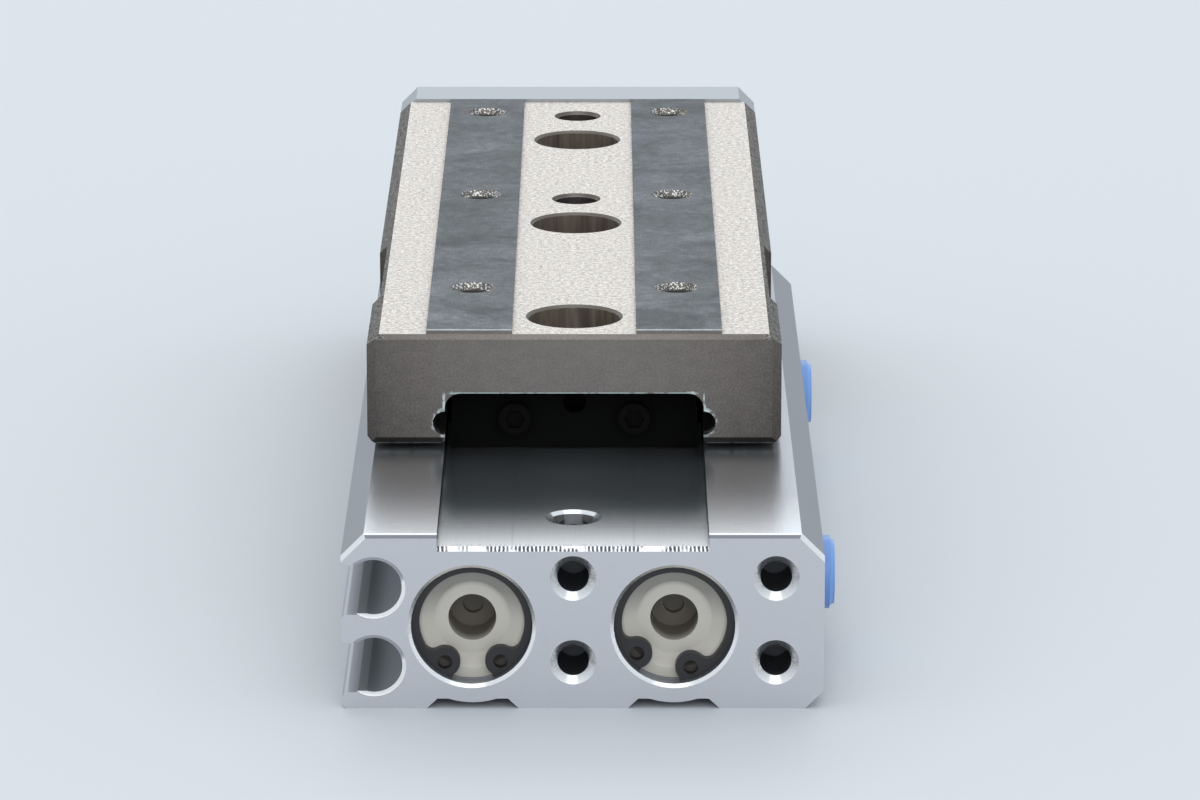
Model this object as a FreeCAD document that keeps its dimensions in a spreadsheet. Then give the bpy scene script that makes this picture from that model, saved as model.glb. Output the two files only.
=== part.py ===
import FreeCAD, Part
import math
import os
from types import SimpleNamespace
import Sketcher

# Air slide table: two cylinders side by side in one body push an end plate,
# which draws a table along a ball guide on top of the body.
# X runs across the bores, Y from the head end to the rod end, Z up.
# The origin is on the underside, on the middle mounting hole.

doc = FreeCAD.newDocument("SlideTableCylinder")

sizes = {
    # body: an extrusion, its left and right reach measured from midway between the bores
    "bodyLeft": 24.0,
    "bodyRight": 26.0,
    "bodyHeight": 18.8,
    "bodyTopChamfer": 2.4,
    "bodyFootChamfer": 1.9,
    "bodyFootRadius": 0.7,
    "bodyEndChamfer": 0.45,
    "channelWidth": 28.1,
    "channelDepth": 1.4,
    "reliefInner": 5.65,
    "reliefOuter": 15.2,
    "reliefSlope": 1.1,
    "reliefDepth": 1.05,
    "reliefCrownHalf": 2.5,
    "reliefCrownDepth": 0.65,
    # switch grooves in the left side
    "switchGrooveX": 20.65,
    "switchGrooveLow": 4.6,
    "switchGrooveDrop": 5.8,
    "switchGrooveRadius": 2.95,
    "switchMouthHalf": 2.65,
    "switchMouthDrop": 0.2,
    "switchLipRadius": 0.6,
    "switchEndRadius": 3.35,
    "switchEndDepth": 0.4,
    # cylinder bores
    "borePitch": 21.0,
    "boreLift": 0.15,
    "boreRadius": 6.0,
    "seatRadius": 6.3,
    "seatLead": 0.3,
    "mouthRadius": 6.65,
    "mouthDepth": 0.35,
    "stroke": 50.0,
    "restTravel": 29.8,
    "stopGap": 0.1,
    "noseRadius": 5.0,
    "noseLead": 0.5,
    "headStack": 23.4,
    "coverStack": 27.8,
    "capEnd": 12.0,
    "coverFlange": 20.4,
    "seatMargin": 0.2,
    "flangeRadius": 6.25,
    # retaining rings at both ends of both bores
    "ringInset": 1.3,
    "ringThickness": 1.0,
    "ringGrooveRadius": 6.9,
    "ringGrooveSlack": 0.05,
    "ringOuterRadius": 6.83,
    "ringInnerRadius": 5.45,
    "ringGapHalfAngle": 20.0,
    "ringEarAngle": 34.5,
    "ringEarReach": 5.1,
    "ringEarRadius": 1.6,
    "ringEarHole": 0.75,
    "ringFillet": 0.9,
    "ringTurnLeft": -0.9,
    "ringTurnRight": 15.0,
    # head caps, plastic
    "capRecessRadius": 2.5,
    "capRecessDepth": 6.2,
    "capDimpleRadius": 1.1,
    "capDimpleDepth": 0.8,
    "capDishInner": 3.9,
    "capDishOuter": 5.2,
    "capDishDepth": 1.1,
    "sealGrooveInset": 3.4,
    "sealGrooveWidth": 2.2,
    "sealGrooveRadius": 4.7,
    "oRingRadius": 0.74,
    "oRingMeanRadius": 5.47,
    # rod covers with their seals
    "rodRadius": 3.0,
    "rodEdge": 0.2,
    "rodClearance": 0.05,
    "rodSealRadius": 4.7,
    "rodSealDepth": 3.0,
    "rodSealPlay": 0.05,
    "washerThickness": 1.0,
    "washerRadius": 6.2,
    "washerBore": 3.3,
    # pistons
    "pistonRadius": 5.92,
    "pistonLength": 12.0,
    "pistonLand": 7.2,
    "pistonHubRadius": 3.6,
    "pistonBore": 2.05,
    "pistonSealInset": 2.6,
    "pistonSealWidth": 2.2,
    "pistonSealFloor": 4.3,
    "pistonSealRadius": 5.97,
    "pistonSealLip": 0.6,
    "magnetLength": 3.0,
    "magnetRadius": 5.7,
    "fitGap": 0.05,
    "bumperLength": 2.0,
    "bumperRadius": 5.6,
    "bumperEdge": 0.3,
    "headBumperBore": 4.3,
    "nutLength": 1.8,
    "nutAcrossFlats": 7.0,
    "spigotRadius": 2.0,
    # ports in the right side, with their push-in plugs
    "portInset": 20.0,
    "farPortInset": 23.6,
    "portRadius": 2.1,
    "portDepth": 5.5,
    "portChamfer": 0.3,
    "passageRadius": 1.25,
    "plugRadius": 3.9,
    "plugHead": 1.7,
    "plugEdge": 0.5,
    "plugStem": 2.05,
    "plugStemLength": 4.6,
    "plugPocketRadius": 1.3,
    # threaded holes in the head end
    "endHoleSpacingX": 21.0,
    "endHoleRise": 5.0,
    "endHoleDrop": 3.33,
    "endHoleDepth": 7.5,
    "tapRadius": 1.65,
    "tapRim": 2.4,
    # mounting holes down through the body, and locating holes in its underside
    "mountHoleInset": 11.2,
    "mountHolePitch": 44.15,
    "mountHoleMargin": 8.0,
    "mountHoleRadius": 2.6,
    "mountHoleRim": 2.95,
    "mountHoleFoot": 3.1,
    "locatorInset": 33.3,
    "locatorPitch": 44.15,
    "locatorRadius": 2.0,
    "locatorDepth": 4.0,
    "locatorSlot": 1.0,
    # table: an inverted U that runs over the body
    "tableWidth": 44.8,
    "tableGap": 0.5,
    "tableHeight": 12.3,
    "tableTopChamfer": 1.35,
    "tableFootChamfer": 0.8,
    "tableFrontChamfer": 1.0,
    "tableFrontTopChamfer": 0.5,
    "tableFrontFootChamfer": 0.9,
    "plateGap": 3.9,
    "bandInner": 6.7,
    "bandWidth": 9.25,
    "bandRise": 0.4,
    "tunnelWidth": 28.0,
    "tunnelHeight": 5.8,
    "tunnelCorner": 1.7,
    "legLip": 0.6,
    "tapRowInset": 19.7,
    "tapRowPitch": 45.5,
    "tapRowMargin": 5.0,
    "tapSpacing": 22.6,
    "tapSurfaceRim": 2.45,
    "accessInset": 8.3,
    "accessRadius": 5.0,
    "accessRim": 5.3,
    "dowelSetback": 0.5,
    "dowelRadius": 2.5,
    "dowelRim": 2.87,
    "sidePocketInset": 19.0,
    "sidePocketLength": 24.0,
    "sidePocketDepth": 0.85,
    # ball guide
    "ballRadius": 1.19,
    "raceRadius": 1.29,
    "raceHeight": 3.0,
    "blockSideGap": 0.5,
    "blockFootHeight": 1.3,
    "blockFootGap": 0.15,
    "blockTopGap": 0.4,
    "blockTopChamfer": 1.3,
    "guideInset": 38.5,
    "guideEndInset": 1.9,
    "guideCapLength": 5.5,
    "guideCapGap": 0.15,
    "returnX": 9.8,
    "returnRadius": 1.3,
    "turnDepth": 3.0,
    "blockAccessRadius": 4.6,
    "ballPlay": 0.12,
    "greaseHoleRadius": 1.25,
    "greaseHoleRise": 5.2,
    "capScrewX": 6.5,
    "capScrewRise": 3.6,
    "capScrewHead": 1.75,
    "capScrewHeadLength": 1.3,
    "capScrewShank": 0.95,
    "capScrewDepth": 5.0,
    "blockScrewHalfPitch": 11.0,
    "blockScrewHead": 3.5,
    "blockScrewHeadLength": 4.0,
    "blockScrewShank": 1.95,
    "blockScrewDepth": 8.0,
    "screwPlay": 0.05,
    # end plate on the table's far end
    "plateThickness": 7.75,
    "plateFoot": 1.5,
    "plateTopChamfer": 2.0,
    "plateFootChamfer": 1.0,
    "plateEdgeChamfer": 0.4,
    "plateHoleSpacingX": 20.0,
    "plateHoleSpacingZ": 8.0,
    "plateHoleDrop": 8.0,
    "rodScrewHead": 3.5,
    "rodScrewHeadLength": 4.0,
    "rodScrewShank": 1.6,
    "rodScrewDepth": 8.0,
    "rodScrewHole": 2.2,
    "rodThreadDepth": 9.5,
    "plateScrewOuterX": 18.2,
    "plateScrewOuterRise": 4.2,
    "plateScrewInnerX": 6.5,
    "plateScrewInnerDrop": 3.1,
    "plateScrewHead": 2.75,
    "plateScrewHeadLength": 3.0,
    "plateScrewShank": 1.2,
    "plateScrewHole": 1.7,
    "plateScrewDepth": 7.0,
    "headPocketPlay": 0.3,
    "socketShare": 1.25,
    # how far the outline of a cut runs past the surface that it opens
    "cutOver": 1.0,
}

sheet = doc.addObject("Spreadsheet::Sheet", "Sizes")
for row, (alias, number) in enumerate(sizes.items(), start=1):
    sheet.set("A%d" % row, str(number))
    sheet.setAlias("A%d" % row, alias)
doc.recompute()


class Size:
    """A length kept twice: the number it has now and the sheet expression that drives it."""

    def __init__(self, number, text):
        self.number = number
        self.text = text

    def __add__(self, other):
        other = asSize(other)
        return Size(self.number + other.number, "(%s + %s)" % (self.text, other.text))

    def __sub__(self, other):
        other = asSize(other)
        return Size(self.number - other.number, "(%s - %s)" % (self.text, other.text))

    def __mul__(self, other):
        other = asSize(other)
        return Size(self.number * other.number, "(%s * %s)" % (self.text, other.text))

    def __truediv__(self, other):
        other = asSize(other)
        return Size(self.number / other.number, "(%s / %s)" % (self.text, other.text))

    def __radd__(self, other):
        return asSize(other) + self

    def __rsub__(self, other):
        return asSize(other) - self

    def __rmul__(self, other):
        return asSize(other) * self

    def __neg__(self):
        return asSize(0) - self


def asSize(value):
    return value if isinstance(value, Size) else Size(float(value), "%.6g" % value)


s = SimpleNamespace(**{name: Size(number, "Sizes." + name) for name, number in sizes.items()})
nought = asSize(0)

# Places worked out from the sizes, along Y from the head end of the body.
bodyLength = s.headStack + 2 * s.bumperLength + s.pistonLength + s.stroke + 2 * s.stopGap + s.coverStack
retractedSetback = s.mountHoleInset - s.accessInset
carriageY = retractedSetback + s.restTravel
tableLength = bodyLength + s.plateGap - retractedSetback
plateY = carriageY + tableLength
pistonY = s.headStack + s.stopGap + s.bumperLength + s.restTravel
coverNoseY = bodyLength - s.coverStack
coverFlangeY = bodyLength - s.coverFlange
portYs = (s.portInset, bodyLength - s.farPortInset)
ringSeat = s.ringInset + s.ringThickness + s.ringGrooveSlack
channelFloor = s.bodyHeight - s.channelDepth
boreZ = channelFloor / 2 + s.boreLift
switchGrooveZs = (s.switchGrooveLow, s.bodyHeight - s.switchGrooveDrop)
tableFoot = s.bodyHeight + s.tableGap
tableTop = tableFoot + s.tableHeight
bandTop = tableTop + s.bandRise
raceZ = s.bodyHeight + s.raceHeight
tunnelTop = tableFoot + s.tunnelHeight
blockTop = tunnelTop - s.blockTopGap
blockHalf = s.tunnelWidth / 2 - s.blockSideGap
blockFootHalf = s.channelWidth / 2 - s.blockFootGap
guideEndY = bodyLength - s.guideEndInset
blockY = s.guideInset + s.guideCapLength
blockLength = guideEndY - s.guideCapLength - blockY
blockMiddleY = blockY + blockLength / 2
blockScrewYs = (blockMiddleY - s.blockScrewHalfPitch, blockMiddleY + s.blockScrewHalfPitch)
originY = s.mountHoleInset + s.mountHolePitch


def placesAlong(length, inset, pitch, margin):
    """Places a pitch apart, from the inset to at least the margin short of the length."""
    count = int(((length - inset - margin) / pitch).number) + 1
    return [inset + index * pitch for index in range(count)]


mountHoleYs = placesAlong(bodyLength, s.mountHoleInset, s.mountHolePitch, s.mountHoleMargin)


def bind(item, path, size):
    item.setExpression(path, asSize(size).text)


def place(item, x=nought, y=nought, z=nought):
    """Put a sub-part at x, y, z, with y counted from the head end of the body."""
    bind(item, "Placement.Base.x", x)
    bind(item, "Placement.Base.y", asSize(y) - originY)
    bind(item, "Placement.Base.z", z)


def newBody(label):
    body = doc.addObject("PartDesign::Body", label)
    body.Label = label
    return body


def originPlane(body, role):
    return [feature for feature in body.Origin.OriginFeatures if feature.Role == role][0]


# A sketch on XZ looks along Y and draws X, Z; on YZ it draws Y, Z; on XY it draws X, Y.
def newSketch(body, name, role, x=nought, y=nought, away=nought):
    sketch = body.newObject("Sketcher::SketchObject", name)
    sketch.AttachmentSupport = [(originPlane(body, role), "")]
    sketch.MapMode = "FlatFace"
    bind(sketch, "AttachmentOffset.Base.x", x)
    bind(sketch, "AttachmentOffset.Base.y", y)
    bind(sketch, "AttachmentOffset.Base.z", away)
    return sketch


def tie(sketch, kind, where, size):
    size = asSize(size)
    index = sketch.addConstraint(Sketcher.Constraint(kind, *where, size.number))
    sketch.setExpression("Constraints[%d]" % index, size.text)


def addCircle(sketch, x, y, radius):
    x, y, radius = asSize(x), asSize(y), asSize(radius)
    centre = FreeCAD.Vector(x.number, y.number, 0)
    circle = sketch.addGeometry(Part.Circle(centre, FreeCAD.Vector(0, 0, 1), radius.number), False)
    tie(sketch, "DistanceX", (-1, 1, circle, 3), x)
    tie(sketch, "DistanceY", (-1, 1, circle, 3), y)
    tie(sketch, "Radius", (circle,), radius)


def arcBetween(start, end, radius, turn):
    """Arc from start to end: turn 1 runs anticlockwise, -1 clockwise, both the short way."""
    chord = end - start
    half = chord.Length / 2
    side = FreeCAD.Vector(-chord.y, chord.x, 0).normalize()
    reach = math.sqrt(max(radius * radius - half * half, 0.0))
    centre = start + chord / 2 + side * (reach * turn)
    first, last = (start, end) if turn > 0 else (end, start)
    fromAngle = math.atan2(first.y - centre.y, first.x - centre.x)
    toAngle = math.atan2(last.y - centre.y, last.x - centre.x)
    circle = Part.Circle(centre, FreeCAD.Vector(0, 0, 1), radius)
    return Part.ArcOfCircle(circle, fromAngle, toAngle)


def addOutline(sketch, corners):
    """Closed outline. A corner is (x, y), or (x, y, radius, turn) for an arc that leads to it."""
    corners = [tuple(asSize(value) if index < 3 else value for index, value in enumerate(corner))
               for corner in corners]
    points = [FreeCAD.Vector(corner[0].number, corner[1].number, 0) for corner in corners]
    heads = []
    tails = []
    for index, corner in enumerate(corners):
        start, end = points[index - 1], points[index]
        if len(corner) == 2:
            edge = sketch.addGeometry(Part.LineSegment(start, end), False)
            heads.append((edge, 1))
            tails.append((edge, 2))
        else:
            turn = corner[3]
            edge = sketch.addGeometry(arcBetween(start, end, corner[2].number, turn), False)
            heads.append((edge, 1 if turn > 0 else 2))
            tails.append((edge, 2 if turn > 0 else 1))
            tie(sketch, "Radius", (edge,), corner[2])
    for index, corner in enumerate(corners):
        following = heads[(index + 1) % len(corners)]
        sketch.addConstraint(Sketcher.Constraint("Coincident", *tails[index], *following))
        tie(sketch, "DistanceX", (-1, 1) + tails[index], corner[0])
        tie(sketch, "DistanceY", (-1, 1) + tails[index], corner[1])


def addBox(sketch, left, right, low, high):
    addOutline(sketch, [(left, low), (right, low), (right, high), (left, high)])


def pad(body, name, sketch, length, backward=False):
    feature = body.newObject("PartDesign::Pad", name)
    feature.Profile = sketch
    feature.Reversed = backward
    bind(feature, "Length", length)
    return feature


def checkCut(body, feature, before):
    doc.recompute()
    if not body.Shape.Volume < before - 1e-6:
        raise RuntimeError(feature.Name + " cuts nothing")


def pocket(body, name, sketch, length=None, backward=False, bothWays=False):
    before = body.Shape.Volume
    feature = body.newObject("PartDesign::Pocket", name)
    feature.Profile = sketch
    feature.Reversed = backward
    feature.Midplane = bothWays
    if length is None:
        feature.Type = "ThroughAll"
    else:
        bind(feature, "Length", length)
    checkCut(body, feature, before)
    return feature


def spin(body, name, sketch, cut=False):
    """Turn a sketch about its own horizontal axis, as a solid or as a cut."""
    before = body.Shape.Volume if cut else 0.0
    feature = body.newObject("PartDesign::Groove" if cut else "PartDesign::Revolution", name)
    feature.Profile = sketch
    feature.ReferenceAxis = (sketch, ["H_Axis"])
    feature.Angle = 360.0
    if cut:
        checkCut(body, feature, before)
    return feature


def drill(body, name, sketch, radius, depth=None, rim=None, boreDepth=None, backward=False):
    """Holes at the circles of a sketch: blind or through, with a chamfered rim or a counterbore."""
    doc.recompute()
    before = body.Shape.Volume
    feature = body.newObject("PartDesign::Hole", name)
    feature.Profile = sketch
    feature.Reversed = backward
    doc.recompute()
    bind(feature, "Diameter", 2 * radius)
    if depth is None:
        feature.DepthType = "ThroughAll"
    else:
        feature.DepthType = "Dimension"
        bind(feature, "Depth", depth)
    feature.DrillPoint = "Flat"
    if rim is not None:
        feature.HoleCutType = "Countersink" if boreDepth is None else "Counterbore"
        feature.HoleCutCustomValues = True
        bind(feature, "HoleCutDiameter", 2 * rim)
        if boreDepth is None:
            feature.HoleCutCountersinkAngle = 90.0
        else:
            bind(feature, "HoleCutDepth", boreDepth)
    checkCut(body, feature, before)
    return feature


def dress(body, kind, name, size, wanted):
    """Chamfer or fillet the edges of the body's last feature whose middle passes the test."""
    doc.recompute()
    base = body.Tip
    names = []
    for index, edge in enumerate(base.Shape.Edges, start=1):
        middle = edge.valueAt((edge.FirstParameter + edge.LastParameter) / 2)
        if wanted(middle, edge):
            names.append("Edge%d" % index)
    if not names:
        raise RuntimeError(name + " finds no edge")
    feature = body.newObject("PartDesign::" + kind, name)
    feature.Base = (base, names)
    bind(feature, "Size" if kind == "Chamfer" else "Radius", size)
    doc.recompute()
    return feature


def near(value, size):
    return abs(value - asSize(size).number) < 1e-4


def runsAlong(edge, axis):
    ends = [vertex.Point for vertex in edge.Vertexes]
    if len(ends) < 2:
        return False
    step = ends[1] - ends[0]
    return abs(abs(getattr(step, axis)) - step.Length) < 1e-6


def turned(label, profile, x=nought, y=nought, z=nought):
    """A piece turned about Y: its profile gives distance along Y and radius."""
    body = newBody(label)
    sketch = newSketch(body, label + "_profile", "YZ_Plane")
    addOutline(sketch, profile)
    spin(body, label + "_turned", sketch)
    place(body, x, y, z)
    return body


def tubeProfile(inner, outer, length, edge=None):
    if edge is None:
        return [(0, inner), (length, inner), (length, outer), (0, outer)]
    return [(0, inner), (length, inner), (length, outer - edge), (length - edge, outer),
            (edge, outer), (0, outer - edge)]


# Body
def makeBody():
    body = newBody("body")
    section = newSketch(body, "body_section", "XZ_Plane")
    left = -s.bodyLeft
    right = s.bodyRight
    addOutline(section, [
        (right - s.bodyFootChamfer, 0),
        (right, s.bodyFootChamfer),
        (right, s.bodyHeight - s.bodyTopChamfer),
        (right - s.bodyTopChamfer, s.bodyHeight),
        (left + s.bodyTopChamfer, s.bodyHeight),
        (left, s.bodyHeight - s.bodyTopChamfer),
        (left, s.bodyFootRadius),
        (left + s.bodyFootRadius, 0, s.bodyFootRadius, 1),
    ])
    pad(body, "body_extrusion", section, bodyLength, backward=True)
    doc.recompute()
    cutChannel(body)
    cutSwitchGrooves(body)
    cutReliefs(body)
    for side in (-1, 1):
        cutBore(body, side)
    for portY in portYs:
        cutPort(body, portY)
    drillBody(body)
    finishBodyEnds(body)
    place(body)
    return body


def cutChannel(body):
    sketch = newSketch(body, "channel", "XZ_Plane")
    addBox(sketch, -s.channelWidth / 2, s.channelWidth / 2, channelFloor, s.bodyHeight + s.cutOver)
    pocket(body, "channel_cut", sketch)


def cutSwitchGrooves(body):
    grooveX = -s.switchGrooveX
    mouthX = -s.bodyLeft - s.cutOver
    lips = []
    for grooveZ in switchGrooveZs:
        low = grooveZ - s.switchMouthDrop - s.switchMouthHalf
        high = low + 2 * s.switchMouthHalf
        track = newSketch(body, "switch_groove", "XZ_Plane")
        addCircle(track, grooveX, grooveZ, s.switchGrooveRadius)
        pocket(body, "switch_groove_cut", track)
        mouth = newSketch(body, "switch_mouth", "XZ_Plane")
        addBox(mouth, mouthX, grooveX, low, high)
        pocket(body, "switch_mouth_cut", mouth)
        lips.extend([low, high])
    dress(body, "Fillet", "switch_lips", s.switchLipRadius,
          lambda middle, edge: runsAlong(edge, "y") and near(middle.x, -s.bodyLeft)
          and any(near(middle.z, lip) for lip in lips))
    for grooveZ in switchGrooveZs:
        sketch = newSketch(body, "switch_end", "XZ_Plane")
        addCircle(sketch, grooveX, grooveZ, s.switchEndRadius)
        pocket(body, "switch_end_cut", sketch, s.switchEndDepth)


def cutReliefs(body):
    middle = (s.reliefInner + s.reliefOuter) / 2
    half = (s.reliefOuter - s.reliefInner) / 2
    rise = s.reliefDepth - s.reliefCrownDepth
    crown = (s.reliefCrownHalf * s.reliefCrownHalf + rise * rise) / (2 * rise)
    for side in (-1, 1):
        sketch = newSketch(body, "relief", "XZ_Plane")
        centre = side * middle
        addOutline(sketch, [
            (centre + half, -s.cutOver),
            (centre + half, 0),
            (centre + half - s.reliefSlope, s.reliefDepth),
            (centre + s.reliefCrownHalf, s.reliefDepth),
            (centre - s.reliefCrownHalf, s.reliefDepth, crown, -1),
            (centre - half + s.reliefSlope, s.reliefDepth),
            (centre - half, 0),
            (centre - half, -s.cutOver),
        ])
        pocket(body, "relief_cut", sketch)


def cutBore(body, side):
    sketch = newSketch(body, "bore", "YZ_Plane", y=boreZ, away=side * s.borePitch / 2)
    headSeat = s.capEnd + s.seatMargin
    coverSeat = coverFlangeY - s.seatMargin
    farSeat = bodyLength - ringSeat
    addOutline(sketch, [
        (0, 0),
        (0, s.mouthRadius),
        (s.mouthDepth, s.seatRadius),
        (s.ringInset, s.seatRadius),
        (s.ringInset, s.ringGrooveRadius),
        (ringSeat, s.ringGrooveRadius),
        (ringSeat, s.seatRadius),
        (headSeat, s.seatRadius),
        (headSeat + s.seatLead, s.boreRadius),
        (coverSeat - s.seatLead, s.boreRadius),
        (coverSeat, s.seatRadius),
        (farSeat, s.seatRadius),
        (farSeat, s.ringGrooveRadius),
        (bodyLength - s.ringInset, s.ringGrooveRadius),
        (bodyLength - s.ringInset, s.seatRadius),
        (bodyLength - s.mouthDepth, s.seatRadius),
        (bodyLength, s.mouthRadius),
        (bodyLength, 0),
    ])
    spin(body, "bore_cut", sketch, cut=True)


def cutPort(body, portY):
    sketch = newSketch(body, "port", "XY_Plane", y=portY, away=boreZ)
    right = s.bodyRight
    addOutline(sketch, [
        (right, 0),
        (right, s.portRadius + s.portChamfer),
        (right - s.portChamfer, s.portRadius),
        (right - s.portDepth, s.portRadius),
        (right - s.portDepth, s.passageRadius),
        (-s.borePitch / 2, s.passageRadius),
        (-s.borePitch / 2, 0),
    ])
    spin(body, "port_cut", sketch, cut=True)


def drillBody(body):
    endHoles = newSketch(body, "end_holes", "XZ_Plane")
    for x in (nought, s.endHoleSpacingX):
        for z in (s.endHoleRise, channelFloor - s.endHoleDrop):
            addCircle(endHoles, x, z, s.tapRadius)
    drill(body, "end_hole_drill", endHoles, s.tapRadius, s.endHoleDepth, rim=s.tapRim)
    mounts = newSketch(body, "mount_holes", "XY_Plane", away=channelFloor)
    feet = newSketch(body, "mount_hole_feet", "XY_Plane")
    for holeY in mountHoleYs:
        addCircle(mounts, 0, holeY, s.mountHoleRadius)
        addCircle(feet, 0, holeY, s.mountHoleRadius)
    drill(body, "mount_hole_drill", mounts, s.mountHoleRadius, rim=s.mountHoleRim)
    drill(body, "mount_hole_foot_chamfer", feet, s.mountHoleRadius, s.mountHoleRadius,
          rim=s.mountHoleFoot, backward=True)
    locator = newSketch(body, "locating_hole", "XY_Plane")
    addCircle(locator, 0, s.locatorInset, s.locatorRadius)
    drill(body, "locating_hole_drill", locator, s.locatorRadius, s.locatorDepth, backward=True)
    slot = newSketch(body, "locating_slot", "XY_Plane")
    slotY = s.locatorInset + s.locatorPitch
    low = slotY - s.locatorSlot / 2
    high = slotY + s.locatorSlot / 2
    radius = s.locatorRadius
    addOutline(slot, [
        (radius, high),
        (0, high + radius, radius, 1),
        (-radius, high, radius, 1),
        (-radius, low),
        (0, low - radius, radius, 1),
        (radius, low, radius, 1),
    ])
    pocket(body, "locating_slot_cut", slot, s.locatorDepth, backward=True)
    screws = newSketch(body, "guide_screw_holes", "XY_Plane", away=channelFloor)
    for screwY in blockScrewYs:
        addCircle(screws, 0, screwY, s.blockScrewShank + s.screwPlay)
    drill(body, "guide_screw_drill", screws, s.blockScrewShank + s.screwPlay,
          s.blockScrewDepth + s.headPocketPlay)


def finishBodyEnds(body):
    def onTopRim(middle, edge):
        onEnd = near(middle.y, 0) or near(middle.y, bodyLength)
        straight = len(edge.Vertexes) == 2 and edge.Curve.TypeId == "Part::GeomLine"
        onLand = near(middle.z, s.bodyHeight)
        onSlope = near(middle.z, s.bodyHeight - s.bodyTopChamfer / 2)
        onFloor = near(middle.z, channelFloor)
        return onEnd and straight and (onLand or onSlope or onFloor)

    dress(body, "Chamfer", "end_chamfers", s.bodyEndChamfer, onTopRim)


# Head caps, with the ring and seal that hold each in its bore
def makeHeadCap(label, x):
    length = s.headStack - ringSeat
    flange = s.capEnd - ringSeat
    grooveY = s.sealGrooveInset
    recess = s.capRecessRadius
    return turned(label, [
        (s.capRecessDepth + s.capDimpleDepth, 0),
        (s.capRecessDepth + s.capDimpleDepth, s.capDimpleRadius),
        (s.capRecessDepth, s.capDimpleRadius),
        (s.capRecessDepth, recess),
        (s.capDishDepth, recess),
        (s.capDishDepth, s.capDishInner),
        (0, s.capDishOuter),
        (0, s.flangeRadius),
        (grooveY, s.flangeRadius),
        (grooveY, s.sealGrooveRadius),
        (grooveY + s.sealGrooveWidth, s.sealGrooveRadius),
        (grooveY + s.sealGrooveWidth, s.flangeRadius),
        (flange, s.flangeRadius),
        (flange, s.noseRadius),
        (length - s.noseLead, s.noseRadius),
        (length, s.noseRadius - s.noseLead),
        (length, 0),
    ], x, ringSeat, boreZ)


def makeSealRing(label, x, y):
    """A round-section rubber ring in a flange groove that starts at y."""
    ring = doc.addObject("Part::Torus", label)
    ring.Label = label
    bind(ring, "Radius1", s.oRingMeanRadius)
    bind(ring, "Radius2", s.oRingRadius)
    ring.Placement.Rotation = FreeCAD.Rotation(FreeCAD.Vector(1, 0, 0), 90)
    place(ring, x, y + s.sealGrooveWidth / 2, boreZ)
    return ring


def rod(label, radius, length, y=nought):
    """A plain cylinder along Y, used to build the nuts and screws."""
    item = doc.addObject("Part::Cylinder", label)
    bind(item, "Radius", radius)
    bind(item, "Height", length)
    item.Placement.Rotation = FreeCAD.Rotation(FreeCAD.Vector(1, 0, 0), -90)
    bind(item, "Placement.Base.y", y)
    return item


def join(label, pieces):
    item = doc.addObject("Part::MultiFuse", label)
    item.Shapes = pieces
    return item


def cut(label, base, tool):
    item = doc.addObject("Part::Cut", label)
    item.Base = base
    item.Tool = tool
    return item


def turnOf(angle):
    """Sine and cosine of a named angle."""
    radians = math.radians(angle.number)
    return (Size(math.sin(radians), "sin(%s * 1 deg)" % angle.text),
            Size(math.cos(radians), "cos(%s * 1 deg)" % angle.text))


def makeRetainingRing(label, x, y, turn):
    """Internal retaining ring: an open band with two lugs beside the gap at its foot."""
    body = newBody(label)
    sketch = newSketch(body, label + "_outline", "XZ_Plane")
    outer = s.ringOuterRadius
    inner = s.ringInnerRadius
    sine, cosine = turnOf(s.ringGapHalfAngle)
    addOutline(sketch, [
        (outer * sine, -outer * cosine),
        (outer, 0, outer, 1),
        (0, outer, outer, 1),
        (-outer, 0, outer, 1),
        (-outer * sine, -outer * cosine, outer, 1),
        (-inner * sine, -inner * cosine),
        (-inner, 0, inner, -1),
        (0, inner, inner, -1),
        (inner, 0, inner, -1),
        (inner * sine, -inner * cosine, inner, -1),
    ])
    pad(body, label + "_band", sketch, s.ringThickness, backward=True)
    lugs = newSketch(body, label + "_lugs", "XZ_Plane")
    eyes = newSketch(body, label + "_eyes", "XZ_Plane")
    sine, cosine = turnOf(s.ringEarAngle)
    for side in (-1, 1):
        for spot, radius in ((lugs, s.ringEarRadius), (eyes, s.ringEarHole)):
            addCircle(spot, side * s.ringEarReach * sine, -s.ringEarReach * cosine, radius)
    pad(body, label + "_lug_plates", lugs, s.ringThickness, backward=True)

    def isLugRoot(middle, edge):
        beyond = math.degrees(math.atan2(abs(middle.x), -middle.z)) > s.ringEarAngle.number
        return beyond and runsAlong(edge, "y") and near(math.hypot(middle.x, middle.z), inner)

    dress(body, "Fillet", label + "_lug_roots", s.ringFillet, isLugRoot)
    pocket(body, label + "_eye_cut", eyes)
    place(body, x, y, boreZ)
    body.setExpression("Placement.Rotation.Axis.y", "1")
    body.setExpression("Placement.Rotation.Axis.z", "0")
    bind(body, "Placement.Rotation.Angle", turn)
    return body


# Rod covers, with the rod seal and its washer at the outer end
def makeRodCover(label, x):
    flange = coverFlangeY - coverNoseY
    end = bodyLength - ringSeat - s.washerThickness - coverNoseY
    bore = s.rodRadius + s.rodClearance
    pocketRadius = s.rodSealRadius + s.rodSealPlay
    grooveEnd = end - s.rodSealDepth - s.sealGrooveInset
    grooveStart = grooveEnd - s.sealGrooveWidth
    return turned(label, [
        (0, bore),
        (end - s.rodSealDepth, bore),
        (end - s.rodSealDepth, pocketRadius),
        (end, pocketRadius),
        (end, s.flangeRadius),
        (grooveEnd, s.flangeRadius),
        (grooveEnd, s.sealGrooveRadius),
        (grooveStart, s.sealGrooveRadius),
        (grooveStart, s.flangeRadius),
        (flange, s.flangeRadius),
        (flange, s.noseRadius),
        (s.noseLead, s.noseRadius),
        (0, s.noseRadius - s.noseLead),
    ], x, coverNoseY, boreZ)


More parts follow.
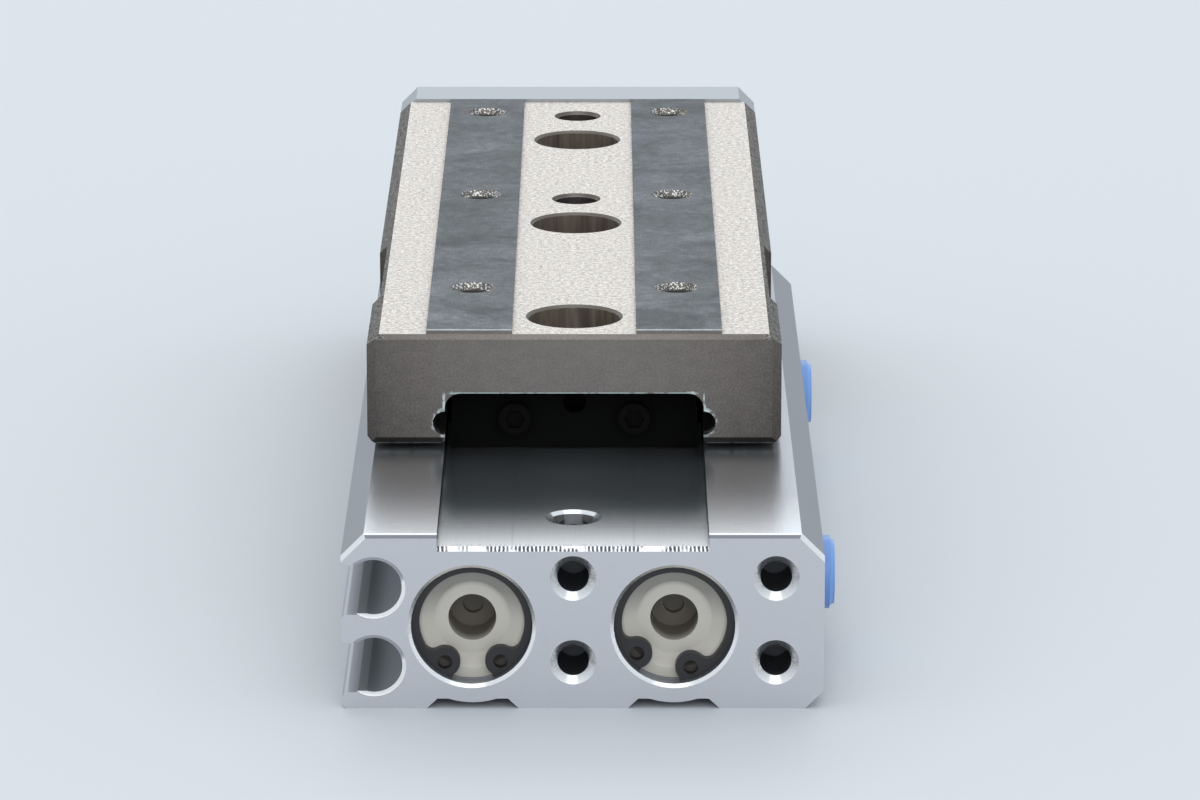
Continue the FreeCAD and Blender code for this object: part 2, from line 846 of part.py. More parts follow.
def makeRodSeal(label, x):
    inner = s.rodRadius + s.rodClearance
    outer = s.rodSealRadius
    depth = s.rodSealDepth
    web = (inner + outer) / 2
    lip = s.pistonSealLip
    y = bodyLength - ringSeat - s.washerThickness - depth
    return turned(label, [
        (0, inner),
        (depth, inner),
        (depth, outer),
        (0, outer),
        (0, outer - lip / 2),
        (2 * lip, web),
        (0, inner + lip / 2),
    ], x, y, boreZ)


# Pistons, each clamped on its rod by a nut, with a magnet for the switches
def makePiston(label, x):
    return turned(label, [
        (0, s.pistonBore),
        (s.pistonLength, s.pistonBore),
        (s.pistonLength, s.pistonHubRadius),
        (s.pistonLand, s.pistonHubRadius),
        (s.pistonLand, s.pistonRadius),
        (s.pistonSealInset + s.pistonSealWidth, s.pistonRadius),
        (s.pistonSealInset + s.pistonSealWidth, s.pistonSealFloor),
        (s.pistonSealInset, s.pistonSealFloor),
        (s.pistonSealInset, s.pistonRadius),
        (0, s.pistonRadius),
    ], x, pistonY, boreZ)


def makePistonSeal(label, x):
    inner = s.pistonSealFloor + s.fitGap
    outer = s.pistonSealRadius
    width = s.pistonSealWidth - 2 * s.fitGap
    lip = s.pistonSealLip
    return turned(label, [
        (0, inner),
        (width, inner),
        (width, outer - lip),
        (width - lip, outer),
        (width / 2, outer - lip),
        (lip, outer),
        (0, outer - lip),
    ], x, pistonY + s.pistonSealInset + s.fitGap, boreZ)


def makePistonNut(label, x):
    nut = doc.addObject("Part::Prism", label + "_hexagon")
    nut.Polygon = 6
    bind(nut, "Circumradius", s.nutAcrossFlats / math.sqrt(3))
    bind(nut, "Height", s.nutLength)
    nut.Placement.Rotation = FreeCAD.Rotation(FreeCAD.Vector(1, 0, 0), -90)
    thread = rod(label + "_thread", s.pistonBore, s.nutLength + 2 * s.cutOver, -s.cutOver)
    item = cut(label, nut, thread)
    item.Label = label
    place(item, x, pistonY - s.nutLength, boreZ)
    return item


def makePistonRod(label, x):
    length = plateY - pistonY + s.nutLength
    shoulder = s.nutLength + s.pistonLength
    thread = s.rodThreadDepth
    edge = s.rodEdge
    return turned(label, [
        (0, 0),
        (0, s.spigotRadius - edge),
        (edge, s.spigotRadius),
        (shoulder, s.spigotRadius),
        (shoulder, s.rodRadius),
        (length - edge, s.rodRadius),
        (length, s.rodRadius - edge),
        (length, s.tapRadius),
        (length - thread, s.tapRadius),
        (length - thread, 0),
    ], x, pistonY - s.nutLength, boreZ)


def makeCylinderPieces():
    turns = {"left": s.ringTurnLeft, "right": s.ringTurnRight}
    for side, hand in ((-1, "left"), (1, "right")):
        x = side * s.borePitch / 2
        z = boreZ
        frontEnd = pistonY + s.pistonLength
        magnetY = pistonY + s.pistonLand + s.fitGap
        retainerY = magnetY + s.magnetLength + s.fitGap
        washerY = bodyLength - ringSeat - s.washerThickness
        coverGrooveY = washerY - s.rodSealDepth - s.sealGrooveInset - s.sealGrooveWidth
        makeHeadCap("head_cap_" + hand, x)
        makeSealRing("head_cap_o_ring_" + hand, x, ringSeat + s.sealGrooveInset)
        makeRetainingRing("head_retaining_ring_" + hand, x, s.ringInset + s.ringGrooveSlack / 2, turns[hand])
        makeRodCover("rod_cover_" + hand, x)
        makeSealRing("rod_cover_o_ring_" + hand, x, coverGrooveY)
        makeRodSeal("rod_seal_" + hand, x)
        turned("rod_seal_washer_" + hand, tubeProfile(s.washerBore, s.washerRadius, s.washerThickness),
               x, washerY, z)
        makeRetainingRing("rod_retaining_ring_" + hand, x,
                          bodyLength - ringSeat + s.ringGrooveSlack / 2, nought)
        makePistonRod("piston_rod_" + hand, x)
        makePiston("piston_" + hand, x)
        makePistonSeal("piston_seal_" + hand, x)
        turned("piston_magnet_" + hand,
               tubeProfile(s.pistonHubRadius + s.fitGap, s.magnetRadius, s.magnetLength), x, magnetY, z)
        turned("magnet_retainer_" + hand,
               tubeProfile(s.pistonHubRadius + s.fitGap, s.magnetRadius, frontEnd - retainerY),
               x, retainerY, z)
        makePistonNut("piston_nut_" + hand, x)
        turned("head_bumper_" + hand,
               tubeProfile(s.headBumperBore, s.bumperRadius, s.bumperLength, s.bumperEdge),
               x, pistonY - s.bumperLength, z)
        turned("rod_bumper_" + hand,
               tubeProfile(s.rodRadius + s.rodClearance, s.bumperRadius, s.bumperLength, s.bumperEdge),
               x, frontEnd, z)


# Port plugs
def makePortPlug(label, portY):
    body = newBody(label)
    sketch = newSketch(body, label + "_profile", "XY_Plane")
    head = s.plugHead
    addOutline(sketch, [
        (-s.plugStemLength, s.plugPocketRadius),
        (-s.plugStemLength, s.plugStem - s.portChamfer),
        (-s.plugStemLength + s.portChamfer, s.plugStem),
        (0, s.plugStem),
        (0, s.plugRadius),
        (head - s.plugEdge, s.plugRadius),
        (head, s.plugRadius - s.plugEdge, s.plugEdge, 1),
        (head, 0),
        (0, 0),
        (0, s.plugPocketRadius),
    ])
    spin(body, label + "_turned", sketch)
    place(body, s.bodyRight, portY, boreZ)
    return body


# Table
def makeTable():
    body = newBody("slide_table")
    half = s.tableWidth / 2
    tunnel = s.tunnelWidth / 2
    top = s.tableTopChamfer
    foot = s.tableFootChamfer
    corner = s.tunnelCorner
    height = s.tableHeight
    section = newSketch(body, "table_section", "XZ_Plane")
    addOutline(section, [
        (-tunnel, 0),
        (-tunnel, s.tunnelHeight - corner),
        (-tunnel + corner, s.tunnelHeight, corner, -1),
        (tunnel - corner, s.tunnelHeight),
        (tunnel, s.tunnelHeight - corner, corner, -1),
        (tunnel, 0),
        (half - foot, 0),
        (half, foot),
        (half, height - top),
        (half - top, height),
        (-half + top, height),
        (-half, height - top),
        (-half, foot),
        (-half + foot, 0),
    ])
    pad(body, "table_extrusion", section, tableLength, backward=True)
    doc.recompute()
    races = newSketch(body, "table_races", "XZ_Plane")
    for side in (-1, 1):
        addCircle(races, side * tunnel, raceZ - tableFoot, s.raceRadius)
    pocket(body, "table_race_cut", races)
    dress(body, "Fillet", "leg_lips", s.legLip,
          lambda middle, edge: runsAlong(edge, "y") and near(abs(middle.x), tunnel) and near(middle.z, 0))
    pockets = newSketch(body, "side_pockets", "XY_Plane", away=height + s.cutOver)
    low = s.sidePocketInset
    high = s.sidePocketInset + s.sidePocketLength
    addBox(pockets, -half - s.cutOver, -half + s.sidePocketDepth, low, high)
    addBox(pockets, half - s.sidePocketDepth, half + s.cutOver, low, high)
    pocket(body, "side_pocket_cut", pockets)
    finishTableEnds(body)
    bands = newSketch(body, "bands", "XY_Plane", away=height - s.bandRise)
    for side in (-1, 1):
        inner = side * s.bandInner
        outer = side * (s.bandInner + s.bandWidth)
        left, right = (inner, outer) if side > 0 else (outer, inner)
        addBox(bands, left, right, s.tableFrontTopChamfer, tableLength)
    pad(body, "band_pads", bands, 2 * s.bandRise)
    doc.recompute()
    drillTable(body)
    place(body, y=carriageY, z=tableFoot)
    return body


def finishTableEnds(body):
    half = s.tableWidth / 2
    height = s.tableHeight

    def onFront(middle):
        return near(middle.y, 0)

    dress(body, "Chamfer", "front_uprights", s.tableFrontChamfer,
          lambda middle, edge: onFront(middle) and near(abs(middle.x), half))
    dress(body, "Chamfer", "front_top", s.tableFrontTopChamfer,
          lambda middle, edge: onFront(middle) and near(middle.z, height))
    toes = newSketch(body, "front_feet", "YZ_Plane")
    over = s.cutOver
    reach = s.tableFrontFootChamfer + over
    addOutline(toes, [(-over, -over), (reach, -over), (-over, reach)])
    pocket(body, "front_feet_cut", toes, s.tableWidth + 2 * over, bothWays=True)


def drillTable(body):
    surface = s.tableHeight
    bandX = s.tapSpacing / 2
    rows = placesAlong(tableLength, s.tapRowInset, s.tapRowPitch, s.tapRowMargin)
    taps = newSketch(body, "table_taps", "XY_Plane", away=surface + s.bandRise)
    for rowY in rows:
        addCircle(taps, -bandX, rowY, s.tapRadius)
        addCircle(taps, bandX, rowY, s.tapRadius)
    drill(body, "table_tap_drill", taps, s.tapRadius, rim=s.tapSurfaceRim)
    access = newSketch(body, "access_holes", "XY_Plane", away=surface)
    for holeY in mountHoleYs:
        addCircle(access, 0, holeY - retractedSetback, s.accessRadius)
    drill(body, "access_hole_drill", access, s.accessRadius, rim=s.accessRim)
    dowels = newSketch(body, "dowel_holes", "XY_Plane", away=surface)
    for rowY in rows[1:]:
        addCircle(dowels, 0, rowY - s.dowelSetback, s.dowelRadius)
    drill(body, "dowel_hole_drill", dowels, s.dowelRadius, rim=s.dowelRim)
    screws = newSketch(body, "plate_screw_threads", "XZ_Plane", away=-tableLength)
    for x, z in plateScrewSpots():
        addCircle(screws, x, z - tableFoot, s.plateScrewShank + s.screwPlay)
    drill(body, "plate_screw_thread_drill", screws, s.plateScrewShank + s.screwPlay,
          s.plateScrewDepth + s.headPocketPlay, backward=True)


def plateScrewSpots():
    outer = [(side * s.plateScrewOuterX, tableFoot + s.plateScrewOuterRise) for side in (-1, 1)]
    inner = [(side * s.plateScrewInnerX, tableTop - s.plateScrewInnerDrop) for side in (-1, 1)]
    return outer + inner


# Ball guide
def makeGuideBlock():
    body = newBody("guide_block")
    height = blockTop - channelFloor
    section = newSketch(body, "block_section", "XZ_Plane")
    half = blockHalf
    foot = blockFootHalf
    addOutline(section, [
        (-foot, 0),
        (foot, 0),
        (foot, s.blockFootHeight),
        (half, s.blockFootHeight),
        (half, height - s.blockTopChamfer),
        (half - s.blockTopChamfer, height),
        (-half + s.blockTopChamfer, height),
        (-half, height - s.blockTopChamfer),
        (-half, s.blockFootHeight),
        (-foot, s.blockFootHeight),
    ])
    pad(body, "block_extrusion", section, blockLength, backward=True)
    doc.recompute()
    races = newSketch(body, "block_races", "XZ_Plane")
    for side in (-1, 1):
        addCircle(races, side * s.tunnelWidth / 2, raceZ - channelFloor, s.raceRadius)
    pocket(body, "block_race_cut", races)
    returns = newSketch(body, "ball_returns", "XZ_Plane")
    for side in (-1, 1):
        addCircle(returns, side * s.returnX, raceZ - channelFloor, s.returnRadius)
    pocket(body, "ball_return_cut", returns)
    access = newSketch(body, "block_access", "XY_Plane", away=height)
    for holeY in mountHoleYs:
        if blockY.number < holeY.number < (blockY + blockLength).number:
            addCircle(access, 0, holeY - blockY, s.blockAccessRadius)
    drill(body, "block_access_drill", access, s.blockAccessRadius)
    screws = newSketch(body, "block_screws", "XY_Plane", away=height)
    for screwY in blockScrewYs:
        addCircle(screws, 0, screwY - blockY, s.blockScrewShank + s.headPocketPlay)
    drill(body, "block_screw_drill", screws, s.blockScrewShank + s.headPocketPlay,
          rim=s.blockScrewHead + s.headPocketPlay, boreDepth=s.blockScrewHeadLength + s.headPocketPlay)
    threads = {"near": (nought, False), "far": (-blockLength, True)}
    for name, (away, backward) in threads.items():
        sketch = newSketch(body, "cap_screw_threads_" + name, "XZ_Plane", away=away)
        for side in (-1, 1):
            addCircle(sketch, side * s.capScrewX, s.capScrewRise, s.capScrewShank + s.screwPlay)
        drill(body, "cap_screw_thread_drill_" + name, sketch, s.capScrewShank + s.screwPlay,
              s.capScrewDepth + s.headPocketPlay, backward=backward)
    place(body, y=blockY, z=channelFloor)
    return body


def makeGuideCap(label, facing, y):
    """Plastic end cap that turns the balls round; facing 1 has its back to the rod end."""
    body = newBody(label)
    height = blockTop - channelFloor - s.guideCapGap
    half = blockHalf - s.guideCapGap
    section = newSketch(body, label + "_section", "XZ_Plane")
    addOutline(section, [
        (-half, s.guideCapGap),
        (half, s.guideCapGap),
        (half, height - s.blockTopChamfer),
        (half - s.blockTopChamfer, height),
        (-half + s.blockTopChamfer, height),
        (-half, height - s.blockTopChamfer),
    ])
    pad(body, label + "_block", section, s.guideCapLength, backward=True)
    doc.recompute()
    blockFace = nought if facing > 0 else -s.guideCapLength
    turns = newSketch(body, label + "_turns", "XZ_Plane", away=blockFace)
    raceRise = raceZ - channelFloor
    for side in (-1, 1):
        inner = side * (s.returnX - s.returnRadius)
        outer = side * (half + s.cutOver)
        left, right = (inner, outer) if side > 0 else (outer, inner)
        addBox(turns, left, right, raceRise - s.returnRadius, raceRise + s.returnRadius)
    pocket(body, label + "_turn_cut", turns, s.turnDepth, backward=facing < 0)
    openFace = -s.guideCapLength if facing > 0 else nought
    screws = newSketch(body, label + "_screw_holes", "XZ_Plane", away=openFace)
    for side in (-1, 1):
        addCircle(screws, side * s.capScrewX, s.capScrewRise, s.capScrewShank + s.headPocketPlay)
    drill(body, label + "_screw_drill", screws, s.capScrewShank + s.headPocketPlay,
          backward=facing > 0)
    grease = newSketch(body, label + "_grease", "XZ_Plane", away=openFace)
    addCircle(grease, 0, s.greaseHoleRise, s.greaseHoleRadius)
    drill(body, label + "_grease_drill", grease, s.greaseHoleRadius, s.turnDepth, backward=facing > 0)
    place(body, y=y, z=channelFloor)
    return body


def group(label, pieces):
    item = doc.addObject("Part::Compound", label)
    item.Label = label
    item.Links = pieces
    place(item)
    return item


def makeBalls(hand, side):
    pitch = 2 * s.ballRadius + s.ballPlay
    count = int(blockLength.number / pitch.number)
    start = blockY + (blockLength - (count - 1) * pitch) / 2
    balls = []
    for index in range(count):
        ball = doc.addObject("Part::Sphere", "ball")
        bind(ball, "Radius", s.ballRadius)
        bind(ball, "Placement.Base.x", side * s.tunnelWidth / 2)
        bind(ball, "Placement.Base.y", start + index * pitch)
        bind(ball, "Placement.Base.z", raceZ)
        balls.append(ball)
    return group("guide_balls_" + hand, balls)


def capScrew(name, head, headLength, shank, shankLength, x, y, z, turn):
    """Socket screw whose head's underside is at x, y, z and whose shank points to turn."""
    body = rod(name + "_head", head, headLength, y=-headLength)
    stem = rod(name + "_stem", shank, shankLength)
    socket = doc.addObject("Part::Prism", name + "_socket")
    socket.Polygon = 6
    bind(socket, "Circumradius", head / 2 * s.socketShare)
    bind(socket, "Height", headLength / 2 + s.cutOver)
    socket.Placement.Rotation = FreeCAD.Rotation(FreeCAD.Vector(1, 0, 0), -90)
    bind(socket, "Placement.Base.y", -headLength - s.cutOver)
    item = cut(name, join(name + "_blank", [body, stem]), socket)
    bind(item, "Placement.Base.x", x)
    bind(item, "Placement.Base.y", y)
    bind(item, "Placement.Base.z", z)
    item.setExpression("Placement.Rotation.Axis.x", "1")
    item.setExpression("Placement.Rotation.Axis.z", "0")
    item.setExpression("Placement.Rotation.Angle", str(turn))
    return item


alongY = 0
backY = 180
downZ = -90


def makeScrews():
    capScrews = []
    for face, turn in ((s.guideInset, alongY), (guideEndY, backY)):
        for side in (-1, 1):
            capScrews.append(capScrew(
                "guide_cap_screw", s.capScrewHead, s.capScrewHeadLength, s.capScrewShank,
                s.guideCapLength + s.capScrewDepth, side * s.capScrewX, face,
                channelFloor + s.capScrewRise, turn))
    group("guide_end_cap_screws", capScrews)
    blockHead = blockTop - s.blockScrewHeadLength - s.headPocketPlay
    group("guide_block_screws", [
        capScrew("guide_block_screw", s.blockScrewHead, s.blockScrewHeadLength, s.blockScrewShank,
                 blockHead - channelFloor + s.blockScrewDepth, nought, screwY, blockHead, downZ)
        for screwY in blockScrewYs])
    plateFace = plateY + s.plateThickness
    plateHead = plateFace - s.plateScrewHeadLength - s.headPocketPlay
    group("end_plate_screws", [
        capScrew("end_plate_screw", s.plateScrewHead, s.plateScrewHeadLength, s.plateScrewShank,
                 plateHead - plateY + s.plateScrewDepth, x, plateHead, z, backY)
        for x, z in plateScrewSpots()])
    rodHead = plateFace - s.rodScrewHeadLength - s.headPocketPlay
    group("rod_end_screws", [
        capScrew("rod_end_screw", s.rodScrewHead, s.rodScrewHeadLength, s.rodScrewShank,
                 rodHead - plateY + s.rodScrewDepth, side * s.borePitch / 2, rodHead, boreZ, backY)
        for side in (-1, 1)])


# End plate
def makeEndPlate():
    body = newBody("end_plate")
    half = s.tableWidth / 2
    top = bandTop
    section = newSketch(body, "plate_section", "XZ_Plane")
    addOutline(section, [
        (-half + s.plateFootChamfer, s.plateFoot),
        (half - s.plateFootChamfer, s.plateFoot),
        (half, s.plateFoot + s.plateFootChamfer),
        (half, top - s.plateTopChamfer),
        (half - s.plateTopChamfer, top),
        (-half + s.plateTopChamfer, top),
        (-half, top - s.plateTopChamfer),
        (-half, s.plateFoot + s.plateFootChamfer),
    ])
    pad(body, "plate_blank", section, s.plateThickness, backward=True)
    dress(body, "Chamfer", "plate_edges", s.plateEdgeChamfer,
          lambda middle, edge: near(middle.y, s.plateThickness))
    front = -s.plateThickness
    rods = newSketch(body, "rod_screw_holes", "XZ_Plane", away=front)
    for side in (-1, 1):
        addCircle(rods, side * s.borePitch / 2, boreZ, s.rodScrewHole)
    drill(body, "rod_screw_drill", rods, s.rodScrewHole, rim=s.rodScrewHead + s.headPocketPlay,
          boreDepth=s.rodScrewHeadLength + s.headPocketPlay, backward=True)
    screws = newSketch(body, "plate_screw_holes", "XZ_Plane", away=front)
    for x, z in plateScrewSpots():
        addCircle(screws, x, z, s.plateScrewHole)
    drill(body, "plate_screw_drill", screws, s.plateScrewHole, rim=s.plateScrewHead + s.headPocketPlay,
          boreDepth=s.plateScrewHeadLength + s.headPocketPlay, backward=True)
    taps = newSketch(body, "plate_taps", "XZ_Plane", away=front)
    highZ = tableTop - s.plateHoleDrop
    for side in (-1, 1):
        for z in (highZ - s.plateHoleSpacingZ, highZ):
            addCircle(taps, side * s.plateHoleSpacingX / 2, z, s.tapRadius)
    drill(body, "plate_tap_drill", taps, s.tapRadius, rim=s.tapSurfaceRim, backward=True)
    place(body, y=plateY)
    return body


makeBody()
makeCylinderPieces()
for plugLabel, plugY in zip(("port_plug_head_side", "port_plug_rod_side"), portYs):
    makePortPlug(plugLabel, plugY)
makeTable()
makeEndPlate()
makeGuideBlock()
makeGuideCap("guide_end_cap_head_side", -1, s.guideInset)
makeGuideCap("guide_end_cap_rod_side", 1, guideEndY - s.guideCapLength)
makeBalls("left", -1)
makeBalls("right", 1)
makeScrews()
doc.recompute()

# Check every object, then write the finished sub-parts
for item in doc.Objects:
    if "Invalid" in item.State or "Error" in item.State:
        raise RuntimeError("%s is %s" % (item.Label, item.State))

used = {child.Name for item in doc.Objects for child in item.OutList}
finished = [item for item in doc.Objects
            if item.Name not in used and hasattr(item, "Shape") and not item.isDerivedFrom("App::Plane")]
os.makedirs("parts", exist_ok=True)
for item in finished:
    shape = item.Shape
    if shape.isNull() or not shape.isValid() or not shape.Solids:
        raise RuntimeError(item.Label + " has no sound shape")
    shape.exportStep("parts/%s.step" % item.Label)
    print("%-28s %2d solids %10.2f mm3" % (item.Label, len(shape.Solids), shape.Volume))
print(len(finished), "sub-parts")
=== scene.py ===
import bpy
import math
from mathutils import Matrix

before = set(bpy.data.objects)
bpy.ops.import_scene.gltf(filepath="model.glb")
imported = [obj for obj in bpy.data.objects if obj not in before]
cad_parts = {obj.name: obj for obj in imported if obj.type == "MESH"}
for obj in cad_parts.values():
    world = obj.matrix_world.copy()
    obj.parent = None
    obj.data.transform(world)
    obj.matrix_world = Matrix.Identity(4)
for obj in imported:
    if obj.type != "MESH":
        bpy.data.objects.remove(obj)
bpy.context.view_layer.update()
print("slide table: frame loaded")

# The row frame is in metres; the looks below are written in millimetres.
# X runs across the bores, -Y is the head end, +Z is up.


def rgb(red, green, blue):
    # a colour as it is read off a screen, 0 to 255, turned into Blender's linear values
    def linear(value):
        share = value / 255
        return share / 12.92 if share <= 0.04045 else ((share + 0.055) / 1.055) ** 2.4
    return (linear(red), linear(green), linear(blue), 1.0)


class Signal:
    # one socket of a material; sums, products and so on add the Math nodes they need
    def __init__(self, paint, socket):
        self.paint = paint
        self.socket = socket

    def math(self, operation, *others, clamp=False):
        return self.paint.math(operation, self, *others, clamp=clamp)

    def __add__(self, other):
        return self.math("ADD", other)

    def __radd__(self, other):
        return self.paint.math("ADD", other, self)

    def __sub__(self, other):
        return self.math("SUBTRACT", other)

    def __rsub__(self, other):
        return self.paint.math("SUBTRACT", other, self)

    def __mul__(self, other):
        return self.math("MULTIPLY", other)

    def __truediv__(self, other):
        return self.math("DIVIDE", other)

    def __neg__(self):
        return self.math("MULTIPLY", -1)

    def __abs__(self):
        return self.math("ABSOLUTE")

    def centred(self):
        # a noise runs from 0 to 1; this one swings both ways from nought
        return self - 0.5

    def above(self, edge, soft=0.05):
        # 0 below the edge, 1 above it, with a soft step between
        return self.math("MULTIPLY_ADD", 1 / soft, 0.5 - edge / soft, clamp=True)

    def between(self, low, high, soft=0.05):
        return self.above(low, soft) * (1 - self.above(high, soft))


class Paint:
    # the nodes of one material or of the world, all added by node()
    def __init__(self, owner):
        owner.use_nodes = True
        self.owner = owner
        self.tree = owner.node_tree
        self.tree.nodes.clear()

    def node(self, kind, settings, inputs, output=0):
        node = self.tree.nodes.new(kind)
        for name, value in settings.items():
            setattr(node, name, value)
        for name, value in inputs.items():
            if isinstance(value, Signal):
                self.tree.links.new(value.socket, node.inputs[name])
            else:
                node.inputs[name].default_value = value
        return None if output is None else Signal(self, node.outputs[output])

    def math(self, operation, *values, clamp=False):
        return self.node("ShaderNodeMath", {"operation": operation, "use_clamp": clamp},
                         dict(enumerate(values)))

    def split(self, vector):
        first = self.node("ShaderNodeSeparateXYZ", {}, {0: vector})
        outputs = first.socket.node.outputs
        return [Signal(self, outputs[index]) for index in range(3)]

    def joined(self, x, y, z):
        return self.node("ShaderNodeCombineXYZ", {}, {0: x, 1: y, 2: z})

    def mix(self, first, second, share):
        return self.node("ShaderNodeMix", {"data_type": "RGBA"}, {0: share, 6: first, 7: second}, 2)

    def tone(self, colour, level):
        # a colour made lighter or darker by a number that changes over the surface
        grey = self.joined(level, level, level)
        return self.node("ShaderNodeMix", {"data_type": "RGBA", "blend_type": "MULTIPLY"},
                         {0: 1.0, 6: colour, 7: grey}, 2)


class Surface(Paint):
    # a material that knows, at each point, the place in mm and the way the surface faces
    def __init__(self, name):
        super().__init__(bpy.data.materials.new(name))
        coordinates = self.node("ShaderNodeTexCoord", {}, {}, "Object")
        self.spot = self.node("ShaderNodeVectorMath", {"operation": "SCALE"},
                              {0: coordinates, "Scale": 1000})
        self.x, self.y, self.z = self.split(self.spot)
        facing = self.node("ShaderNodeTexCoord", {}, {}, "Normal")
        self.faceX, self.faceY, self.faceZ = self.split(facing)
        self.up = self.faceZ.above(0.9)

    def stretched(self, x, y, z):
        # the place in mm, times a number along each axis: a small number draws streaks that way
        return self.node("ShaderNodeVectorMath", {"operation": "MULTIPLY"},
                         {0: self.spot, 1: (x, y, z)})

    def noise(self, scale, detail=2.0, vector=None, distortion=0.0, roughness=0.5):
        place = self.spot if vector is None else vector
        return self.node("ShaderNodeTexNoise", {}, {
            "Vector": place, "Scale": scale, "Detail": detail,
            "Roughness": roughness, "Distortion": distortion})

    def waves(self, place, pitch):
        return (place * (2 * math.pi / pitch)).math("SINE")

    def ring(self, first, second, centres, radius, soft=0.05):
        # 1 within the radius of any of the centres, measured in the two given directions
        total = None
        for centre in centres:
            across = first - centre[0]
            along = second - centre[1]
            reach = (across * across + along * along).math("SQRT")
            spot = 1 - reach.above(radius, soft)
            total = spot if total is None else total.math("MAXIMUM", spot)
        return total

    def bump(self, height, distance, strength=1.0, before=None):
        inputs = {"Height": height, "Distance": distance, "Strength": strength}
        if before is not None:
            inputs["Normal"] = before
        return self.node("ShaderNodeBump", {}, inputs)

    def finish(self, colour, roughness, metallic, normal=None, **constants):
        inputs = {"Base Color": colour, "Roughness": roughness, "Metallic": metallic}
        if normal is not None:
            inputs["Normal"] = normal
        inputs.update(constants)
        shader = self.node("ShaderNodeBsdfPrincipled", {}, inputs)
        self.node("ShaderNodeOutputMaterial", {}, {"Surface": shader}, None)
        return self.owner


# The body: places in mm, colours, patterns, and how much each part of it changes the look.
bodySpots = {
    "headEnd": -55.35,
    "sheenEnd": 8,
    "sheenFade": 15,
    "chatterEnd": 1.1,
    "topBevelEnd": 0.6,
    "endHoles": [(0, 5.0), (21.0, 5.0), (0, 14.07), (21.0, 14.07)],
    "endHoleRadius": 1.8,
    "endConeRadius": 2.6,
    "endConeDepth": 0.8,
    "betweenHoleRows": 9.5,
    "grooves": [(-20.65, 4.6), (-20.65, 13.0)],
    "grooveEnd": 3.33,
    "grooveEndDepth": (0.1, 0.5),
    "grooveAcross": (-22.35, -17.0),
    "grooveHeight": (1.0, 16.3),
    "seam": 6.3,
    "seamHalf": 0.1,
    "channelFoot": 16.8,
    "wallAcross": (13.9, 14.2),
    "wallFoot": 17.3,
    "landFoot": 18.0,
    "landEdge": 18.66,
    "topBevelFoot": 16.6,
    "slopeFoot": 16.3,
}
bodyLook = {
    "extruded": rgb(168, 171, 177),
    "endFace": rgb(205, 206, 210),
    "milled": rgb(186, 188, 192),
    "channelFloor": rgb(180, 190, 197),
    # painted highlight on the head end of the top
    "headEndSheen": rgb(240, 243, 246),
    # near white: freshly cut bevels, with a painted highlight where they catch the light
    "freshCutHighlight": rgb(250, 250, 250),
    "coneShade": rgb(118, 121, 126),
    # painted shade on the top bevels of the lands
    "topBevel": rgb(128, 129, 137),
    "tick": rgb(84, 86, 92),
    "channelWallShade": rgb(26, 28, 32),
    # painted shade inside the switch grooves
    "groove": rgb(124, 129, 134),
    "endHoleShade": rgb(76, 79, 82),
}
bodyGrain = {
    "drawn": (3.5, 0.04, 3.5),
    "milled": (5.0, 0.12, 1.0),
    "chatter": (4.2, 0.3, 0.0),
    "chatterEdge": 0.56,
    "fine": 7.0,
    "tickPitch": 0.42,
    "tickWander": 4,
    "tickEdge": -0.15,
    "tickPatches": 0.5,
    "tickPatchEdge": 0.42,
    "threadPitch": 0.7,
}
bodyShare = {
    "landSheen": 0.7,
    "milled": 0.14,
    "seam": 0.12,
    "chatter": 0.2,
    "drawn": 0.14,
    "slopeShade": 0.22,
    "ends": 0.05,
    "cone": 0.7,
    "coneGrain": 1.2,
    "coneFrom": -0.9,
    "coneFade": 2.4,
    "groovesLean": 1.6,
    "groovesLit": 1.6,
    "groovesFade": 1.2,
    "endHoleShade": 0.85,
    "landMilled": 0.6,
    "endGrain": 0.3,
}
bodyFinish = {
    "roughness": 0.42,
    "top": 0.15,
    "floor": 0.06,
    "sheenFloor": 0.13,
    "ends": 0.06,
    "bevel": 0.24,
    "topBevel": 0.2,
    "groove": 0.2,
    "drawn": 0.1,
    "metallic": 0.92,
    "grooveMetallic": 0.2,
    "threadDepth": 0.0001,
    "threadStrength": 0.8,
    "grainDepth": 0.00001,
    "grainStrength": 0.5,
}


